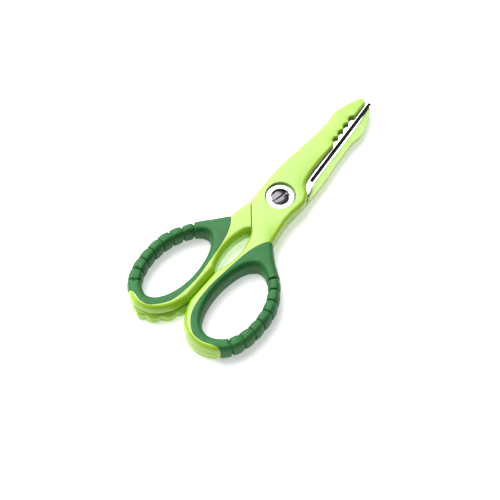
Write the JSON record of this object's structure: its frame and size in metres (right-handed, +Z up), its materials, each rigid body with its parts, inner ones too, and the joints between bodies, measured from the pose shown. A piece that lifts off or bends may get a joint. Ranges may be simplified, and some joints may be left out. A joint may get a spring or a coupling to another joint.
{
  "type": "decorative edge scissors",
  "caption": "Closed craft scissors with plastic-covered steel blades, soft ribbed finger loops and a slotted pivot screw.",
  "frame": {"origin": "middle of the underside of the closed scissors, on the surface they lie on", "axes": "+Y along the blades towards the tips, +X to the right loop, +Z up out of the surface along the pivot axis"},
  "size_m": [0.0632, 0.1428, 0.0093],
  "materials": {
    "lime_plastic": "smooth moulded lime-green plastic with a soft gloss",
    "soft_grip": "matt dark-green soft-touch overmould",
    "blade_steel": "fine ground stainless strip",
    "screw_steel": "bright plated steel",
    "washer_steel": "bright turned steel",
    "nylon": "natural nylon"
  },
  "bodies": {
    "rear_half": {"rear_handle": "lime_plastic", "rear_grip": "soft_grip", "rear_blade": "blade_steel", "pivot_screw": "screw_steel", "pivot_nut": "screw_steel", "rear_washer": "washer_steel", "pivot_bush": "blade_steel", "friction_washer": "nylon"},
    "front_half": {"front_handle": "lime_plastic", "front_grip": "soft_grip", "front_blade": "blade_steel", "pivot_washer": "washer_steel"}
  },
  "joints": [
    {"name": "blade_pivot", "type": "hinge", "parent": "rear_half", "child": "front_half", "pos_m": [-0.00135, 0.00903, 0.00465], "axis": [0, 0, 1], "range_deg": [0, 75]}
  ]
}
